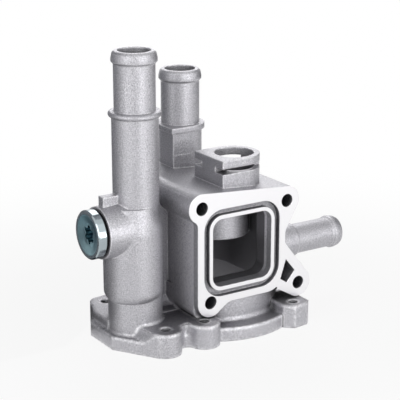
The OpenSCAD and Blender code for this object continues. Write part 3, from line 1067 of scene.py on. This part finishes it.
@dataclass
class Casting:
    """The one-piece casting as packed, with its finish and its cut threads."""

    finish: CastAluminium = field(default_factory=CastAluminium)
    cut: CutThread = field(default_factory=CutThread)
    # Painted shade: the threads of the cover holes are darker still, for those unlit holes.
    dark_shaded_cut: CutThread = CutThread(
        "Aluminium, tapped thread, painted_shade", "#3C3D41", "#151618", Ramp(0.0, 1.0, 0.3, 0.6)
    )
    base_thread: ThreadSize = ThreadSize(2.6, 1.0, 11.0)
    cover_thread: ThreadSize = ThreadSize(3.4, 1.25, 11.5)
    base_holes_mm: Sequence[Point] = (
        (-55.8, 14.8, 0.4),
        (-49.7, -33.7, 0.4),
        (-28.005, -34.583, 0.4),
        (24.236, -37.321, 0.4),
        (38.538, 22.25, 0.4),
        (-11.517, 42.984, 0.4),
    )
    cover_holes_mm: Sequence[Point] = (
        (-28.8, -33.2, 69.4),
        (21.8, -33.2, 65.4),
        (-23.7, -33.2, 20.3),
        (29.8, -33.2, 20.3),
    )

    def build(self) -> list[bpy.types.Object]:
        """Winds the threads in the bolt holes.

        Returns:
            The thread pieces.
        """
        tree = thread_tree()
        base = TappedHoles("base_threads", self.base_holes_mm, self.base_thread, HoleAxis.UP)
        cover = TappedHoles("cover_threads", self.cover_holes_mm, self.cover_thread, HoleAxis.BACK)
        return [base.build(tree, self.cut.build()), cover.build(tree, self.dark_shaded_cut.build())]

    def dress(self, nodes: dict[str, bpy.types.Object]) -> None:
        """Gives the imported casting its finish."""
        dress_node(nodes["housing"], self.finish.build())


@dataclass
class BlankingPlug:
    """The screwed plug and its sealing ring as packed, with their finishes."""

    plating: PlatedSteel = field(default_factory=PlatedSteel)
    rubber: SealRubber = field(default_factory=SealRubber)

    def dress(self, nodes: dict[str, bpy.types.Object]) -> None:
        """Gives the plug and the ring their finishes."""
        dress_node(nodes["plug"], self.plating.build())
        dress_node(nodes["seal_ring"], self.rubber.build())


def dress_node(node: bpy.types.Object, mat: bpy.types.Material) -> None:
    """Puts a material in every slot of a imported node.

    Args:
        node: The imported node's object.
        mat: The finish.
    """
    for slot in node.material_slots:
        slot.material = mat
    LOG.info("%s: %s", node.name, mat.name)


@dataclass(frozen=True)
class SoftBox:
    """A square soft lamp aimed at the part."""

    name: str
    at_mm: Point
    aim_mm: Point
    size_mm: float
    watts: float

    def build(self) -> None:
        """Makes the lamp and turns it to its aim."""
        lamp = bpy.data.lights.new(self.name, "AREA")
        lamp.energy = self.watts
        lamp.size = self.size_mm * MM
        obj = bpy.data.objects.new(self.name, lamp)
        at, aim = Vector(self.at_mm) * MM, Vector(self.aim_mm) * MM
        obj.location = at
        obj.rotation_euler = (aim - at).to_track_quat("-Z", "Y").to_euler()
        bpy.context.scene.collection.objects.link(obj)


@dataclass(frozen=True)
class Card:
    """A matt card beside the part, out of the picture, that gives the metal a darker side."""

    name: str
    corners_mm: Sequence[Point]
    shade: str

    def build(self) -> None:
        """Makes the card, unseen by the camera and without a shadow."""
        mesh = bpy.data.meshes.new(self.name)
        corners = [tuple(Vector(c) * MM) for c in self.corners_mm]
        mesh.from_pydata(corners, [], [tuple(range(len(corners)))])
        card = bpy.data.objects.new(self.name, mesh)
        bpy.context.scene.collection.objects.link(card)
        card.visible_camera = False
        card.visible_shadow = False
        mat = blank_material("Card, matt, " + self.name)
        tree = mat.node_tree
        matt = add_node(tree, "ShaderNodeBsdfDiffuse", {}, {"Color": linear(self.shade)}).outputs[0]
        add_node(tree, "ShaderNodeOutputMaterial", {}, {"Surface": matt})
        mesh.materials.append(mat)


@dataclass
class Studio:
    """Pale floor, soft lamps, cards and the camera at the photograph's angle."""

    camera_at_mm: Point = (-356.45, -536.59, 257.5)
    camera_turn_deg: Point = (73.0, 0.0, -33.0)
    lens_mm: float = 118.2
    sensor_mm: float = 36.0
    clip_m: tuple[float, float] = (0.01, 20.0)
    floor: str = "#F4F4F4"
    floor_r_mm: float = 4000.0
    floor_z_mm: float = -0.2
    floor_white: Ramp = Ramp(60.0 * MM, 300.0 * MM, 0.9, 1.0)
    world_light: Ramp = Ramp(0.0, 1.0, 0.08, 1.0)
    lamps: Sequence[SoftBox] = (
        SoftBox("key_front", (90, -760, 480), (0, 0, 60), 900, 0.7),
        SoftBox("low_front", (130, -830, 130), (0, 0, 20), 420, 2.7),
        SoftBox("fill_left", (-770, -370, 260), (-30, 0, 40), 600, 2.25),
        SoftBox("fill_right", (760, -380, 260), (0, 0, 60), 420, 0.8),
        SoftBox("back_top", (330, 500, 560), (0, 0, 60), 500, 1.6),
    )
    cards: Sequence[Card] = (
        Card(
            "card_left",
            ((-175, 40, 0), (-20, 140, 0), (-20, 140, 320), (-175, 40, 320)),
            "#C4C5CA",
        ),
        Card(
            "card_right",
            ((500, -240, 0), (410, 290, 0), (410, 290, 420), (500, -240, 420)),
            "#5A5B60",
        ),
        Card(
            "card_low",
            ((-260, 0, 0.3), (-86, 0, 0.3), (0, 70, 0.3), (0, 240, 0.3), (-260, 240, 0.3)),
            "#2E2F33",
        ),
    )

    def build(self) -> None:
        """Makes the floor, the world, the lamps, the cards and the camera."""
        self._floor()
        self._world()
        for item in (*self.lamps, *self.cards):
            item.build()
        self._camera()

    def _seen(self, tree: Tree) -> Socket:
        """Mask of the rays that see the background: the eye's, reflected and transmitted ones.

        Args:
            tree: The tree of the floor's material or of the world.

        Returns:
            1 for those rays, else 0.
        """
        path = add_node(tree, "ShaderNodeLightPath").outputs
        seen = path["Is Camera Ray"]
        for kind in ("Is Glossy Ray", "Is Transmission Ray"):
            seen = add_node(
                tree, "ShaderNodeMath", {"operation": "MAXIMUM"}, {0: seen, 1: path[kind]}
            ).outputs[0]
        return seen

    def _floor(self) -> None:
        """A large pale floor that goes to white for the eye and keeps a faint shadow."""
        mesh = bpy.data.meshes.new("floor")
        r, z = self.floor_r_mm * MM, self.floor_z_mm * MM
        mesh.from_pydata([(-r, -r, z), (r, -r, z), (r, r, z), (-r, r, z)], [], [(0, 1, 2, 3)])
        floor = bpy.data.objects.new("floor", mesh)
        bpy.context.scene.collection.objects.link(floor)
        mat = blank_material("Paper floor, matt white")
        tree = mat.node_tree
        coords = add_node(tree, "ShaderNodeTexCoord").outputs["Object"]
        away = add_node(
            tree, "ShaderNodeVectorMath", {"operation": "LENGTH"}, {0: coords}
        ).outputs["Value"]
        white = add_node(
            tree,
            "ShaderNodeMapRange",
            {"interpolation_type": "SMOOTHSTEP"},
            {"Value": away, **self.floor_white.sockets()},
        ).outputs[0]
        share = add_node(
            tree, "ShaderNodeMath", {"operation": "MULTIPLY"}, {0: self._seen(tree), 1: white}
        ).outputs[0]
        paper = add_node(
            tree, "ShaderNodeBsdfDiffuse", {}, {"Color": linear(self.floor)}
        ).outputs[0]
        glow = add_node(
            tree, "ShaderNodeEmission", {}, {"Color": WHITE, "Strength": 1.0}
        ).outputs[0]
        both = add_node(tree, "ShaderNodeMixShader", {}, {0: share, 1: paper, 2: glow}).outputs[0]
        add_node(tree, "ShaderNodeOutputMaterial", {}, {"Surface": both})
        mesh.materials.append(mat)

    def _world(self) -> None:
        """White for the eye and for reflections, plain grey as light."""
        world = bpy.data.worlds.new("studio")
        bpy.context.scene.world = world
        world.use_nodes = True
        tree = world.node_tree
        tree.nodes.clear()
        strength = add_node(
            tree,
            "ShaderNodeMapRange",
            {},
            {"Value": self._seen(tree), **self.world_light.sockets()},
        ).outputs[0]
        sky = add_node(
            tree, "ShaderNodeBackground", {}, {"Color": WHITE, "Strength": strength}
        ).outputs[0]
        add_node(tree, "ShaderNodeOutputWorld", {}, {"Surface": sky})

    def _camera(self) -> None:
        """The camera at the photograph's angle."""
        data = bpy.data.cameras.new("camera")
        data.lens = self.lens_mm
        data.sensor_width = self.sensor_mm
        data.clip_start, data.clip_end = self.clip_m
        cam = bpy.data.objects.new("camera", data)
        cam.location = Vector(self.camera_at_mm) * MM
        cam.rotation_euler = [math.radians(a) for a in self.camera_turn_deg]
        bpy.context.scene.collection.objects.link(cam)
        bpy.context.scene.camera = cam


def main() -> None:
    """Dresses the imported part, adds its threads and sets the studio."""
    logging.basicConfig(level=logging.INFO, format="%(name)s: %(message)s")
    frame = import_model()
    nodes = frame["nodes"]
    bpy.context.scene.view_settings.view_transform = "Standard"
    casting = Casting()
    casting.dress(nodes)
    casting.build()
    BlankingPlug().dress(nodes)
    Studio().build()


if __name__ == "__main__":
    main()
